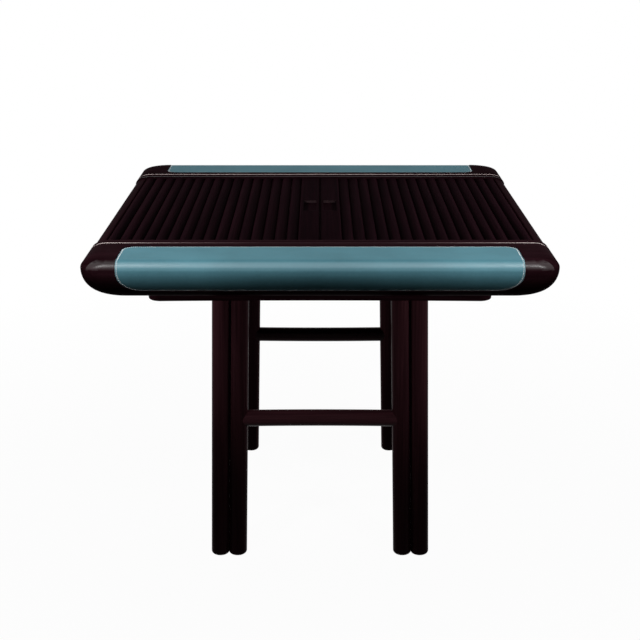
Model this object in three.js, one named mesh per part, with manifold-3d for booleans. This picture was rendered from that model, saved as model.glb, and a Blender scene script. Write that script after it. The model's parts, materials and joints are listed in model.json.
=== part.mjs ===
// A backgammon table with two tambour doors that roll away round the rounded ends of the top.
// Millimetres, +Z up, X from left to right, the front at -Y, the origin on the floor below the middle.
import * as THREE from "three";
import { mergeVertices } from "three/addons/utils/BufferGeometryUtils.js";
import Module from "manifold-3d";

const wasm = await Module();
wasm.setup();

// Clearances and cuts
const seat = 0.3; // between pieces that rest on or against each other
const slip = 0.6; // on each side of a piece that slides
const overrun = 20; // how far a cutting shape runs past the face that it cuts

// The whole table
const width = 970.5;
const depth = 1118;
const height = 750;

// The top's thick edge, the same on the front rail, the back rail and their ends
const slabThickness = 94;
const topEdgeReach = 24;
const topEndReach = 36.5;
const topEdgeDrop = 21;
const lowerEdgeReach = 108;
const lowerEndReach = 68;
const planCornerRadius = 45;
const railDepth = 192.5;
const lineInset = 27; // from a rail's inner face to the fine groove along it
const lineWidth = 3;
const lineDrop = 2.5;

// Leather panels let into the rails
const leatherThickness = 2;
const leatherSunk = 1;
const leatherInnerMargin = 58.5;
const leatherEndMargin = 69;
const leatherLowerMargin = 26;
const leatherTopCorner = 28;
const leatherLowerCorner = 55;

// Tambour doors
const slatPitch = 25.6; // aimed at; the space between a lead slat and an end rail holds whole slats
const slatGap = 0.8;
const slatThickness = 11;
const slatShoulder = 3;
const slatSunk = 4;
const canvasThickness = 0.8;
const bendRadius = 22;
const bendStartShare = 0.2; // of a pitch between the sheet's end and the upper bend's middle
const lowerBendInset = 10;
const returnClearance = 1.9;
const tongueThickness = 5;
const tongueRise = 0.4;
const tongueWidth = 6;
const tongueLength = 6;
const trackDepth = 7;
const trackBelow = 1.9;
const trackAbove = 2.6;

// Fixed rails that close the top's ends, just inside the long rails' outline
const endRailTop = 28.05; // from the last slat to the top's end
const endRailInset = 3;
const endRailClearance = 1;

// Lead slats and their finger pulls
const leadWidth = 47.6;
const meetingGap = 0.7;
const leadEdgeRadius = 4;
const pullWidth = 30;
const pullLength = 122;
const pullDepth = 8;
const pullBackWall = 68;
const pullSetback = 8.4;

// Playing board
const pointGap = 4; // between the bases of neighbouring points
const pointTip = 2;
const pointTipsApart = 87.2; // between the tips of the front and the back row
const pointsInRow = 6;
const inlayThickness = 1.6;
const barWidth = 40;
const barHeight = 22;
const barEdgeRadius = 6;
const dividerWidth = 10;
const trayWidth = 52;
const trayToFloorEnd = 47.35; // from a tray's outer side to the bottom panel's end, for the end core
const fieldThickness = 8;
const carrierThickness = 12;
const carrierTongue = 5;
const returnSpace = 16.6;
const sideRailWidth = 12;
const floorPanelThickness = 4;
const floorPanelInset = 55;

// Board under the top, and the legs
const underWidth = 728;
const underDepth = 850;
const underThickness = 26;
const underCorner = 28;
const underBow = 6;
const underChamfer = 2;
const columnDiameter = 41.5;
const columnSpacing = 39.6;
const legSpanX = 418;
const legSpanY = 644;
const legSplay = 0.0222; // sideways run of a leg for each millimetre of its height
const footRounding = 8;
const tenonDiameter = 24;
const tenonLength = 18;

// Stretchers
const stretcherDiameter = 37;
const stretcherHeight = 330;
const stretcherBow = 4;
const pegDiameter = 18;
const pegLength = 12;

// Facets
const cornerSteps = 6;
const topEdgeSteps = 6;
const lowerEdgeSteps = 8;
const crownSteps = 8;
const roundSteps = 32;
const leatherShare = 3; // steps on the leather's line for each step on the rail's edge

// Sizes worked out from those above
const halfWidth = width / 2;
const halfDepth = depth / 2;
const inner = halfDepth - railDepth; // from the middle to a rail's inner face
const slabBottom = height - slabThickness;
const edgeMiddle = height - topEdgeDrop;
const lowerEdgeRise = slabThickness - topEdgeDrop;
const slatBack = height - slatSunk - slatThickness;
const doorHalf = inner - slip;
const slatFace = height - slatSunk;
const trackFloor = bendRadius + tongueRise - trackBelow;
const trackRoof = bendRadius + tongueRise + tongueThickness + trackAbove;
const tailEnd = halfWidth - endRailTop;
const slatsInDoor = Math.round((tailEnd - leadWidth) / slatPitch);
const slatsInSheet = slatsInDoor - 1;
const slatStep = (tailEnd - leadWidth) / slatsInDoor;
const sheetEnd = tailEnd - slatStep;
const railTop = slatBack - canvasThickness - seat;
const bottomPanelTop = slabBottom + seat + floorPanelThickness;
const carrierBottom = bottomPanelTop + returnSpace;
const carrierTop = carrierBottom + carrierThickness;
const upperBend = [sheetEnd + bendStartShare * slatStep, slatBack - bendRadius];
const lowerBend = [upperBend[0] - lowerBendInset, carrierBottom - returnClearance + bendRadius];
const floorHalf = halfWidth - floorPanelInset;
const fieldTop = carrierTop + seat + fieldThickness;
const fieldInner = barWidth / 2 + seat;
const wellHalf = floorHalf - trayToFloorEnd;
const trayInner = wellHalf - trayWidth;
const dividerInner = trayInner - seat - dividerWidth;
const fieldOuter = dividerInner - seat;
const pointWidth = (fieldOuter - fieldInner) / pointsInRow;
const pointBase = pointWidth - pointGap;
const sideRailInner = inner - seat - sideRailWidth;
const fieldHalf = sideRailInner - seat;
const pointLength = fieldHalf - seat - pointTipsApart / 2;
const columnRadius = columnDiameter / 2;
const underTop = slabBottom - seat;
const underBottom = underTop - underThickness;
const legTop = underBottom - seat;

const quarter = Math.PI / 2;
const halfTurn = 180; // degrees

const table = new THREE.Group();
table.name = "backgammon_table";

const finishes = {
  wood: { color: 0x24141b, roughness: 0.38, metalness: 0 },
  slat: { color: 0x20121a, roughness: 0.42, metalness: 0 },
  leather: { color: 0x44656f, roughness: 0.45, metalness: 0 },
  field: { color: 0x2f4a52, roughness: 0.7, metalness: 0 },
  darkPoint: { color: 0x1c1216, roughness: 0.5, metalness: 0 },
  lightPoint: { color: 0xb9a98c, roughness: 0.5, metalness: 0 },
  plywood: { color: 0x6a4a38, roughness: 0.7, metalness: 0 },
};

// A closed geometry as a solid that can be joined and cut.
function solid(geometry) {
  const bare = geometry.index ? geometry.toNonIndexed() : geometry.clone();
  bare.deleteAttribute("normal");
  bare.deleteAttribute("uv");
  const merged = mergeVertices(bare, 1e-4);
  return new wasm.Manifold(
    new wasm.Mesh({
      numProp: 3,
      vertProperties: new Float32Array(merged.attributes.position.array),
      triVerts: new Uint32Array(merged.index.array),
    }),
  );
}

// A solid's surface as a geometry again.
function surface(made) {
  const mesh = made.getMesh();
  const geometry = new THREE.BufferGeometry();
  geometry.setAttribute("position", new THREE.BufferAttribute(mesh.vertProperties, 3));
  geometry.setIndex(new THREE.BufferAttribute(mesh.triVerts, 1));
  geometry.computeVertexNormals();
  return geometry;
}

// Adds one named piece; mirrored pieces swap left and right, turned ones swap front and back.
function add(name, shape, finish, place = {}) {
  const geometry = shape.isBufferGeometry ? shape : surface(shape);
  const mesh = new THREE.Mesh(geometry, new THREE.MeshStandardMaterial(finishes[finish]));
  mesh.name = name;
  mesh.scale.x = place.mirrored ? -1 : 1;
  mesh.rotation.z = place.turned ? Math.PI : 0;
  table.add(mesh);
  return mesh;
}

function box(x0, x1, y0, y1, z0, z1) {
  const geometry = new THREE.BoxGeometry(x1 - x0, y1 - y0, z1 - z0);
  geometry.translate((x0 + x1) / 2, (y0 + y1) / 2, (z0 + z1) / 2);
  return solid(geometry);
}

// An outline of [x, z] points drawn out from y0 to y1.
function alongY(outline, y0, y1) {
  const shape = new THREE.Shape(outline.map(([x, z]) => new THREE.Vector2(x, z)));
  const geometry = new THREE.ExtrudeGeometry(shape, { depth: y1 - y0, bevelEnabled: false });
  geometry.rotateX(Math.PI / 2);
  geometry.translate(0, y1, 0);
  return geometry;
}

// An outline of [y, z] points drawn out from x0 to x1.
function alongX(outline, x0, x1) {
  const shape = new THREE.Shape(outline.map(([y, z]) => new THREE.Vector2(y, z)));
  const geometry = new THREE.ExtrudeGeometry(shape, { depth: x1 - x0, bevelEnabled: false });
  geometry.rotateX(Math.PI / 2);
  geometry.rotateZ(Math.PI / 2);
  geometry.translate(x0, 0, 0);
  return geometry;
}

// An outline of [x, y] points drawn up from z0 to z1.
function upward(outline, z0, z1) {
  const shape = new THREE.Shape(outline.map(([x, y]) => new THREE.Vector2(x, y)));
  const geometry = new THREE.ExtrudeGeometry(shape, { depth: z1 - z0, bevelEnabled: false });
  geometry.translate(0, 0, z0);
  return geometry;
}

// Rings of as many points each, skinned one after the other and closed at both ends.
function loft(rings) {
  const count = rings[0].length;
  const corners = rings.flat();
  const faces = [];
  for (let r = 0; r + 1 < rings.length; r += 1) {
    for (let i = 0; i < count; i += 1) {
      const a = r * count + i;
      const b = r * count + ((i + 1) % count);
      faces.push(a, b, b + count, a, b + count, a + count);
    }
  }
  const last = (rings.length - 1) * count;
  for (let i = 1; i + 1 < count; i += 1) {
    faces.push(0, i + 1, i);
    faces.push(last, last + i, last + i + 1);
  }
  const geometry = new THREE.BufferGeometry();
  geometry.setAttribute("position", new THREE.Float32BufferAttribute(corners.flat(), 3));
  geometry.setIndex(faces);
  return solid(geometry);
}

// Points of an arc of an ellipse round [cx, cy], both ends included.
function arc(cx, cy, rx, ry, from, to, steps) {
  const points = [];
  for (let i = 0; i <= steps; i += 1) {
    const angle = from + ((to - from) * i) / steps;
    points.push([cx + rx * Math.cos(angle), cy + ry * Math.sin(angle)]);
  }
  return points;
}

// A rectangle with round corners, as [x, y] points, anticlockwise.
function roundedRectangle(halfX, halfY, radius, steps) {
  const x = halfX - radius;
  const y = halfY - radius;
  return [
    ...arc(x, y, radius, radius, 0, quarter, steps),
    ...arc(-x, y, radius, radius, quarter, 2 * quarter, steps),
    ...arc(-x, -y, radius, radius, 2 * quarter, 3 * quarter, steps),
    ...arc(x, -y, radius, radius, 3 * quarter, 4 * quarter, steps),
  ];
}

// The edge of the top from its underside to its upper face: how far it lies in at the ends and at
// the front, and its height.
function edgeLevels() {
  const lower = arc(0, edgeMiddle, 1, lowerEdgeRise, -quarter, 0, lowerEdgeSteps);
  const upper = arc(0, edgeMiddle, 1, topEdgeDrop, 0, quarter, topEdgeSteps).slice(1);
  return [
    ...lower.map(([share, z]) => [lowerEndReach * (1 - share), lowerEdgeReach * (1 - share), z]),
    ...upper.map(([share, z]) => [topEndReach * (1 - share), topEdgeReach * (1 - share), z]),
  ];
}

// The front rail's outside in section, from a place on its upper face round to its underside.
function railSection(start) {
  const upperY = topEdgeReach - halfDepth;
  const lowerY = lowerEdgeReach - halfDepth;
  const upperSteps = topEdgeSteps * leatherShare;
  const lowerSteps = lowerEdgeSteps * leatherShare;
  return [
    [-start, height],
    ...arc(upperY, edgeMiddle, -topEdgeReach, topEdgeDrop, quarter, 0, upperSteps),
    ...arc(lowerY, edgeMiddle, -lowerEdgeReach, lowerEdgeRise, 0, -quarter, lowerSteps).slice(1),
  ];
}

// Walks a line of [y, z] points and gives the place and the outward normal at any distance along it.
function walker(line) {
  const lengths = [0];
  for (let i = 1; i < line.length; i += 1) {
    const step = Math.hypot(line[i][0] - line[i - 1][0], line[i][1] - line[i - 1][1]);
    lengths.push(lengths[i - 1] + step);
  }
  const at = (distance) => {
    let i = 1;
    while (i < line.length - 1 && lengths[i] < distance) {
      i += 1;
    }
    const share = (distance - lengths[i - 1]) / (lengths[i] - lengths[i - 1]);
    const dy = line[i][0] - line[i - 1][0];
    const dz = line[i][1] - line[i - 1][1];
    const size = Math.hypot(dy, dz);
    return {
      y: line[i - 1][0] + dy * share,
      z: line[i - 1][1] + dz * share,
      normal: [dz / size, -dy / size],
    };
  };
  return { at, lengths };
}

// The leather panel's space on the front rail, grown by a margin and lying between two depths.
function leatherPanel(margin, outerDepth, innerDepth) {
  const line = railSection(inner + leatherInnerMargin - margin);
  const { at, lengths } = walker(line);
  const lowest = slabBottom + leatherLowerMargin;
  const below = line.findIndex(([, z], i) => i > 0 && z < lowest);
  const above = line[below - 1];
  const share = (above[1] - lowest) / (above[1] - line[below][1]);
  const total = lengths[below - 1] + (lengths[below] - lengths[below - 1]) * share + margin;
  const halfLength = halfWidth - leatherEndMargin + margin;
  const stations = leatherStations(total, leatherTopCorner + margin, leatherLowerCorner + margin);
  return loft(
    stations.map(({ distance, cut }) => {
      const { y, z, normal } = at(distance);
      const x = halfLength - cut;
      const outer = [y - normal[0] * outerDepth, z - normal[1] * outerDepth];
      const lower = [y - normal[0] * innerDepth, z - normal[1] * innerDepth];
      return [
        [x, ...outer],
        [-x, ...outer],
        [-x, ...lower],
        [x, ...lower],
      ];
    }),
  );
}

// Where the leather's loft has its sections, and what its round corners take off each.
function leatherStations(total, topCorner, lowerCorner) {
  const middleSteps = topEdgeSteps + lowerEdgeSteps;
  const stations = [];
  for (let i = 0; i <= cornerSteps; i += 1) {
    const angle = (quarter * i) / cornerSteps;
    stations.push({
      distance: topCorner * (1 - Math.cos(angle)),
      cut: topCorner * (1 - Math.sin(angle)),
    });
  }
  const free = total - topCorner - lowerCorner;
  for (let i = 1; i < middleSteps; i += 1) {
    stations.push({ distance: topCorner + (free * i) / middleSteps, cut: 0 });
  }
  for (let i = 0; i <= cornerSteps; i += 1) {
    const angle = (quarter * i) / cornerSteps;
    stations.push({
      distance: total - lowerCorner * (1 - Math.sin(angle)),
      cut: lowerCorner * (1 - Math.cos(angle)),
    });
  }
  return stations;
}

// A rail's end outline in the XZ plane; a drop takes some height off it that fades out at its sides.
function endOutline(drop) {
  const upperX = halfWidth - topEndReach;
  const lowerX = halfWidth - lowerEndReach;
  const half = [
    ...arc(lowerX, edgeMiddle, lowerEndReach, lowerEdgeRise, -quarter, 0, lowerEdgeSteps),
    ...arc(upperX, edgeMiddle, topEndReach, topEdgeDrop - drop, 0, quarter, topEdgeSteps).slice(1),
  ];
  const other = half.map(([x, z]) => [-x, z]);
  return [...half, ...other.reverse()];
}

// The doors' turn at the right end, from the returning run up to the flat one, at some distance from
// the middles of its two bends.
function turnLine(radius) {
  const slope = Math.atan2(lowerBend[0] - upperBend[0], upperBend[1] - lowerBend[1]);
  return [
    ...arc(...lowerBend, radius, radius, -quarter, slope, roundSteps / 4),
    ...arc(...upperBend, radius, radius, slope, quarter, roundSteps / 2),
  ];
}

// The doors' whole path round both ends, at some distance from the middles of the bends.
function trackOutline(radius) {
  const turn = turnLine(radius);
  const other = turn.map(([x, z]) => [-x, z]);
  return [...turn, ...other.reverse()];
}

// The front rail: the rounded edge of the top, with the leather's recess, the doors' track and a housing.
function rail() {
  const rings = edgeLevels().map(([insetX, insetY, z]) => {
    const ring = roundedRectangle(halfWidth - insetX, halfDepth - insetY, planCornerRadius, cornerSteps);
    return ring.map(([x, y]) => [x, y, z]);
  });
  const whole = loft(rings);
  const reach = halfWidth + overrun;
  const bottom = slabBottom - overrun;
  const top = height + overrun;
  const front = box(-reach, reach, -halfDepth - overrun, -inner, bottom, top);
  const line = -inner - lineInset - lineWidth;
  const lineBand = box(-reach, reach, line, line + lineWidth, edgeMiddle, top);
  const lineCore = solid(alongY(endOutline(lineDrop), line - overrun, line + lineWidth + overrun));
  const trackStart = -inner - trackDepth;
  const trackCore = solid(alongY(trackOutline(trackFloor), trackStart - overrun, -inner + 2 * overrun));
  const track = solid(alongY(trackOutline(trackRoof), trackStart, -inner + overrun)).subtract(trackCore);
  const housing = box(
    -wellHalf - seat, wellHalf + seat,
    -inner - carrierTongue - seat, -inner + overrun,
    carrierBottom - seat, carrierTop + seat,
  );
  return whole
    .intersect(front)
    .subtract(lineBand.subtract(lineCore))
    .subtract(leatherPanel(seat, -overrun, leatherSunk + leatherThickness + seat))
    .subtract(track)
    .subtract(housing);
}

// A slat's outline standing on its flat back, from x0 to x1, with a crowned face.
function slatOutline(x0, x1) {
  const half = (x1 - x0) / 2;
  const rise = slatThickness - slatShoulder;
  return [
    [x1, 0],
    ...arc((x0 + x1) / 2, slatShoulder, half, rise, 0, Math.PI, crownSteps),
    [x0, 0],
  ];
}

// Some slats on their canvas, from x0 on, as they lie when the door is shut, each with its tongue.
function slatSheet(x0, slats) {
  const end = x0 + slats * slatStep;
  const outline = [
    [x0 + seat, -canvasThickness],
    [end - seat, -canvasThickness],
  ];
  for (let n = slats; n > 0; n -= 1) {
    const x1 = x0 + n * slatStep - slatGap / 2;
    outline.push(...slatOutline(x1 + slatGap - slatStep, x1));
  }
  let sheet = solid(alongY(outline, -doorHalf, doorHalf));
  for (let n = 0; n < slats; n += 1) {
    sheet = sheet.add(tongues(x0 + n * slatStep + slatStep / 2));
  }
  return sheet.translate(0, 0, slatBack);
}

// The tongue that runs through a slat standing on z = 0 and out of both its ends.
function tongues(x) {
  const reach = doorHalf + tongueLength;
  const top = tongueRise + tongueThickness;
  return box(x - tongueWidth / 2, x + tongueWidth / 2, -reach, reach, tongueRise, top);
}

// The wide flat slat at a door's meeting edge, with a scooped finger pull.
function leadSlat() {
  const x0 = meetingGap / 2;
  const x1 = leadWidth - seat;
  const top = slatThickness - leadEdgeRadius;
  const outline = [
    [x0, 0],
    [x1, 0],
    ...arc(x1 - leadEdgeRadius, top, leadEdgeRadius, leadEdgeRadius, 0, quarter, cornerSteps),
    ...arc(x0 + leadEdgeRadius, top, leadEdgeRadius, leadEdgeRadius, quarter, 2 * quarter, cornerSteps),
  ];
  const scoop = [
    [pullBackWall, slatThickness + overrun],
    [pullBackWall - pullLength, slatThickness + overrun],
    [pullBackWall - pullLength, slatThickness],
    ...arc(pullBackWall, slatThickness, -pullLength, -pullDepth, 0, quarter, crownSteps).slice(1),
  ];
  const reach = doorHalf + tongueLength;
  const margin = tongueWidth / 2;
  const tongueTop = tongueRise + tongueThickness;
  const tongue = box(x0 + margin, x1 - margin, -reach, reach, tongueRise, tongueTop);
  return solid(alongY(outline, -doorHalf, doorHalf))
    .add(tongue)
    .subtract(solid(alongX(scoop, pullSetback, pullSetback + pullWidth)))
    .translate(0, 0, slatBack);
}

// The rounded block at each end of the top that the slats roll round.
function endCore() {
  const radius = railTop - upperBend[1];
  const outline = [
    [wellHalf + seat, lowerBend[1] - radius],
    ...turnLine(radius),
    [wellHalf + seat, railTop],
  ];
  return alongY(outline, -inner + seat, inner - seat);
}

// The fixed rail that closes the top's end: round outside, and hollow inside where the slats turn.
function endRail() {
  const toe = floorHalf + slip;
  const lip = tailEnd + slip;
  const lowerX = halfWidth - lowerEndReach;
  const upperX = halfWidth - topEndReach;
  const lowerReach = lowerEndReach - endRailInset;
  const upperReach = topEndReach - endRailInset;
  const lowerRise = lowerEdgeRise - endRailInset;
  const upperRise = slatFace - edgeMiddle;
  const from = -Math.acos((toe - lowerX) / lowerReach);
  const to = Math.acos((lip - upperX) / upperReach);
  const radius = bendRadius + slatThickness + endRailClearance;
  const under = turnLine(radius).slice(1).filter(([x, z]) => x > lip || z < upperBend[1]);
  const lipZ = upperBend[1] + Math.sqrt(radius ** 2 - (lip - upperBend[0]) ** 2);
  const outline = [
    ...arc(lowerX, edgeMiddle, lowerReach, lowerRise, from, 0, lowerEdgeSteps),
    ...arc(upperX, edgeMiddle, upperReach, upperRise, 0, to, topEdgeSteps).slice(1),
    [lip, lipZ],
    ...under.reverse(),
    [toe, lowerBend[1] - radius],
  ];
  return alongY(outline, -inner + seat, inner - seat);
}

// A point's outline from its base at the side rail to its blunt tip, grown by a margin.
function pointOutline(n, margin) {
  const x = fieldInner + n * pointWidth + pointWidth / 2;
  const base = -fieldHalf + seat;
  const half = pointBase / 2 + margin;
  const tip = pointTip / 2 + margin;
  return [
    [x - half, base - margin],
    [x + half, base - margin],
    [x + tip, base + pointLength + margin],
    [x - tip, base + pointLength + margin],
  ];
}

// One half of the playing field with its twelve shallow beds for the inlaid points.
function playingField() {
  let field = box(fieldInner, fieldOuter, -fieldHalf, fieldHalf, carrierTop + seat, fieldTop);
  for (let n = 0; n < pointsInRow; n += 1) {
    const bed = upward(pointOutline(n, seat), fieldTop - inlayThickness - seat, fieldTop + overrun);
    const cut = solid(bed);
    const middle = fieldInner + fieldOuter;
    field = field.subtract(cut).subtract(cut.rotate(0, 0, halfTurn).translate(middle, 0, 0));
  }
  return field;
}

function addPoints() {
  for (let n = 0; n < pointsInRow; n += 1) {
    const inlay = upward(pointOutline(n, 0), fieldTop - inlayThickness, fieldTop);
    const light = n % 2 === 0;
    const near = light ? "lightPoint" : "darkPoint";
    const far = light ? "darkPoint" : "lightPoint";
    const number = n + 1;
    add(`right_near_point_${number}`, inlay, near);
    add(`left_near_point_${number}`, inlay, far, { mirrored: true });
    add(`left_far_point_${number}`, inlay, near, { turned: true });
    add(`right_far_point_${number}`, inlay, far, { turned: true, mirrored: true });
  }
}

// The raised bar between the two halves of the field.
function centreBar() {
  const half = barWidth / 2;
  const bottom = carrierTop + seat;
  const top = bottom + barHeight;
  const level = top - barEdgeRadius;
  const outline = [
    [-half, bottom],
    [half, bottom],
    ...arc(half - barEdgeRadius, level, barEdgeRadius, barEdgeRadius, 0, quarter, cornerSteps),
    ...arc(-half + barEdgeRadius, level, barEdgeRadius, barEdgeRadius, quarter, 2 * quarter, cornerSteps),
  ];
  return alongY(outline, -fieldHalf, fieldHalf);
}

function board() {
  const reach = inner + carrierTongue;
  add("board_carrier", box(-wellHalf, wellHalf, -reach, reach, carrierBottom, carrierTop), "plywood");
  const base = carrierTop + seat;
  const sideRail = box(-wellHalf, wellHalf, -inner + seat, -sideRailInner, base, railTop);
  add("front_side_rail", sideRail, "wood");
  add("back_side_rail", sideRail, "wood", { turned: true });
  add("centre_bar", centreBar(), "wood");
  const field = playingField();
  const dividerOuter = dividerInner + dividerWidth;
  const divider = box(dividerInner, dividerOuter, -fieldHalf, fieldHalf, base, base + barHeight);
  const tray = box(trayInner, wellHalf, -fieldHalf, fieldHalf, base, base + inlayThickness);
  for (const side of ["right", "left"]) {
    const place = { mirrored: side === "left" };
    add(`${side}_playing_field`, field, "field", place);
    add(`${side}_tray_divider`, divider, "wood", place);
    add(`${side}_tray_lining`, tray, "field", place);
    add(`${side}_end_core`, endCore(), "wood", place);
    add(`${side}_end_rail`, endRail(), "wood", place);
  }
  const floor = box(-floorHalf, floorHalf, -inner + seat, inner - seat, slabBottom + seat, bottomPanelTop);
  add("bottom_panel", floor, "plywood");
}

function doors() {
  const sheet = slatSheet(leadWidth, slatsInSheet);
  const tail = slatSheet(sheetEnd, 1);
  const lead = leadSlat();
  for (const side of ["right", "left"]) {
    const place = { mirrored: side === "left" };
    add(`${side}_lead_slat`, lead, "slat", place);
    add(`${side}_slat_sheet`, sheet, "slat", place);
    add(`${side}_tail_slat`, tail, "slat", place);
  }
}

function rails() {
  const piece = rail();
  const leather = leatherPanel(0, leatherSunk, leatherSunk + leatherThickness);
  add("front_rail", piece, "wood");
  add("back_rail", piece, "wood", { turned: true });
  add("front_leather_panel", leather, "leather");
  add("back_leather_panel", leather, "leather", { turned: true });
}

// The line of a column's middle, leaning in towards the top, at a given height.
function columnX(outerOne, z) {
  const half = legSpanX / 2 + (outerOne ? columnSpacing / 2 : -columnSpacing / 2);
  return half - legSplay * z;
}

// A turned column of the front right leg, cut level at the floor, with a tenon at its top.
function column(outerOne) {
  const sink = columnRadius * legSplay;
  const flat = columnRadius - footRounding;
  const foot = arc(flat, footRounding, footRounding, footRounding, -quarter, 0, cornerSteps);
  const profile = [
    [0, -sink],
    [flat, -sink],
    ...foot.slice(1),
    [columnRadius, legTop + overrun],
    [0, legTop + overrun],
  ];
  const turned = new THREE.LatheGeometry(profile.map(([r, z]) => new THREE.Vector2(r, z)), roundSteps);
  const tenon = new THREE.CylinderGeometry(
    tenonDiameter / 2, tenonDiameter / 2, 2 * tenonLength, roundSteps / 2,
  );
  turned.rotateX(quarter);
  tenon.rotateX(quarter);
  const lean = new THREE.Matrix4().set(
    1, 0, -legSplay, columnX(outerOne, 0),
    0, 1, 0, -legSpanY / 2,
    0, 0, 1, 0,
    0, 0, 0, 1,
  );
  turned.applyMatrix4(lean);
  tenon.translate(columnX(outerOne, legTop), -legSpanY / 2, legTop);
  const reach = 2 * columnDiameter;
  const x = legSpanX / 2;
  const y = -legSpanY / 2;
  const level = box(x - reach, x + reach, y - reach, y + reach, 0, legTop);
  const middle = legSpanX / 2;
  const glueGap = seat / 2;
  const side = outerOne ? 1 : -1;
  const keep = new THREE.BoxGeometry(reach, 2 * reach, 2 * height);
  keep.translate(side * (reach / 2 + glueGap), 0, 0);
  keep.applyMatrix4(new THREE.Matrix4().set(
    1, 0, -legSplay, middle,
    0, 1, 0, y,
    0, 0, 1, 0,
    0, 0, 0, 1,
  ));
  return solid(turned).intersect(level).intersect(solid(keep)).add(solid(tenon));
}

// A round peg lying along X, from x0 to x1, on the front stretcher's line.
function peg(diameter, x0, x1) {
  const geometry = new THREE.CylinderGeometry(diameter / 2, diameter / 2, x1 - x0, roundSteps / 2);
  geometry.rotateZ(Math.PI / 2);
  geometry.translate((x0 + x1) / 2, -legSpanY / 2, stretcherHeight);
  return solid(geometry);
}

// The front stretcher, bowed a little inwards, coped over the inner columns and pegged into them.
function stretcher(columnSurface) {
  const end = columnX(false, stretcherHeight);
  const radius = stretcherDiameter / 2;
  const ring = arc(0, 0, radius, radius, 0, 2 * Math.PI, roundSteps / 2).slice(1);
  const sections = crownSteps;
  const rings = [];
  for (let i = 0; i <= sections; i += 1) {
    const share = (2 * i) / sections - 1;
    const x = end * share;
    const bow = stretcherBow * (1 - share ** 2);
    rings.push(ring.map(([y, z]) => [x, y - legSpanY / 2 + bow, z + stretcherHeight]));
  }
  const face = end - columnRadius;
  return loft(rings)
    .subtract(columnSurface)
    .subtract(columnSurface.mirror([1, 0, 0]))
    .add(peg(pegDiameter, -face - pegLength, face + pegLength));
}

// The space that a coped stretcher leaves for the inner column, one seat larger than the column.
function copeSpace() {
  const radius = columnRadius + seat;
  const geometry = new THREE.CylinderGeometry(radius, radius, 2 * stretcherHeight, roundSteps);
  geometry.rotateX(Math.PI / 2);
  geometry.rotateZ(Math.PI / roundSteps);
  geometry.translate(0, 0, stretcherHeight);
  geometry.applyMatrix4(new THREE.Matrix4().set(
    1, 0, -legSplay, columnX(false, 0),
    0, 1, 0, -legSpanY / 2,
    0, 0, 1, 0,
    0, 0, 0, 1,
  ));
  return solid(geometry);
}

// The board under the top: round plan corners, front and back edges that bow in, a chamfer below.
function underBoard() {
  const half = underWidth / 2;
  const level = (z, inset) => {
    const ring = roundedRectangle(half - inset, underDepth / 2 - inset, underCorner - inset, cornerSteps);
    return straightened(ring, half).map(([x, y]) => {
      const bow = underBow * (1 - (x / half) ** 2);
      return [x, y - Math.sign(y) * bow, z];
    });
  };
  let piece = loft([
    level(underBottom, underChamfer),
    level(underBottom + underChamfer, 0),
    level(underTop, 0),
  ]);
  for (const outerOne of [true, false]) {
    const x = columnX(outerOne, legTop);
    const radius = tenonDiameter / 2 + seat;
    for (const sx of [-1, 1]) {
      for (const sy of [-1, 1]) {
        const length = 2 * (tenonLength + seat);
        const bore = new THREE.CylinderGeometry(radius, radius, length, roundSteps / 2);
        bore.rotateX(Math.PI / 2);
        bore.translate(sx * x, (sy * legSpanY) / 2, legTop);
        piece = piece.subtract(solid(bore));
      }
    }
  }
  return piece;
}

// Gives the long front and back stretches of a ring some points, so that they can bow.
function straightened(ring, half) {
  const points = [];
  ring.forEach(([x, y], i) => {
    const [nx, ny] = ring[(i + 1) % ring.length];
    points.push([x, y]);
    if (Math.abs(nx - x) > half) {
      for (let n = 1; n < crownSteps; n += 1) {
        points.push([x + ((nx - x) * n) / crownSteps, y + ((ny - y) * n) / crownSteps]);
      }
    }
  });
  return points;
}

function stand() {
  add("under_board", underBoard(), "wood");
  const face = columnX(false, stretcherHeight) - columnRadius;
  const mortise = peg(pegDiameter + 2 * seat, face - overrun, face + pegLength + seat);
  const outer = column(true);
  const innerOne = column(false).subtract(mortise);
  const places = {
    front_right: {},
    front_left: { mirrored: true },
    back_left: { turned: true },
    back_right: { turned: true, mirrored: true },
  };
  for (const [name, place] of Object.entries(places)) {
    add(`${name}_outer_column`, outer, "wood", place);
    add(`${name}_inner_column`, innerOne, "wood", place);
  }
  const rung = stretcher(copeSpace());
  add("front_stretcher", rung, "wood");
  add("back_stretcher", rung, "wood", { turned: true });
}

rails();
doors();
board();
addPoints();
stand();

export default table;
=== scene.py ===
"""The looks of a backgammon table: dark wood, stitched leather, tambour doors and the board inside.

Lengths are written in millimetres, as in the part's source, and become metres when a piece is made.
"""

import json
import math
import random

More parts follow.
